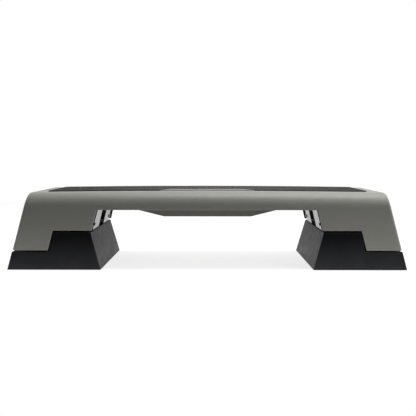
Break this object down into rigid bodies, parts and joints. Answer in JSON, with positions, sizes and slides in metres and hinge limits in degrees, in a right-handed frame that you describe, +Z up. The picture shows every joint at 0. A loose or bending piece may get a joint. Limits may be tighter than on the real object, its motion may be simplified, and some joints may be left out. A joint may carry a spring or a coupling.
{
  "type": "aerobic step platform",
  "caption": "Low exercise step: a crowned moulded deck with a rubber mat and stepped legs, standing on stepped riser blocks that pull off downwards to change its height.",
  "frame": {"origin": "on the floor, under the middle of the step", "axes": "+X along the step, +Z up, -Y to the front, where the bare plate is"},
  "size_m": [1.0196, 0.3798, 0.202],
  "materials": {
    "deck_plastic": "satin grey-green moulded plastic",
    "riser_plastic": "fine-grained black moulded plastic",
    "mat_rubber": "studded charcoal rubber",
    "plate_plastic": "satin, bare",
    "cover_plastic": "semi-gloss dark grey",
    "foot_rubber": "matt black",
    "screw_steel": "zinc plated"
  },
  "bodies": {
    "deck": {"deck_shell": "deck_plastic", "underframe": "deck_plastic", "underframe_screws": "screw_steel", "top_mat": "mat_rubber", "front_plate": "plate_plastic", "left_leg_cover": "cover_plastic", "right_leg_cover": "cover_plastic", "left_cover_screws": "screw_steel", "right_cover_screws": "screw_steel", "left_front_deck_foot": "foot_rubber", "left_back_deck_foot": "foot_rubber", "right_front_deck_foot": "foot_rubber", "right_back_deck_foot": "foot_rubber"},
    "left_riser_block": {"left_riser": "riser_plastic", "left_outer_front_riser_foot": "foot_rubber", "left_outer_back_riser_foot": "foot_rubber", "left_inner_front_riser_foot": "foot_rubber", "left_inner_back_riser_foot": "foot_rubber"},
    "right_riser_block": {"right_riser": "riser_plastic", "right_outer_front_riser_foot": "foot_rubber", "right_outer_back_riser_foot": "foot_rubber", "right_inner_front_riser_foot": "foot_rubber", "right_inner_back_riser_foot": "foot_rubber"}
  },
  "joints": [
    {"name": "left_riser_pull", "type": "slide", "parent": "deck", "child": "left_riser_block", "axis": [0, 0, -1], "range_m": [0, 0.1]},
    {"name": "right_riser_pull", "type": "slide", "parent": "deck", "child": "right_riser_block", "axis": [0, 0, -1], "range_m": [0, 0.1]}
  ]
}
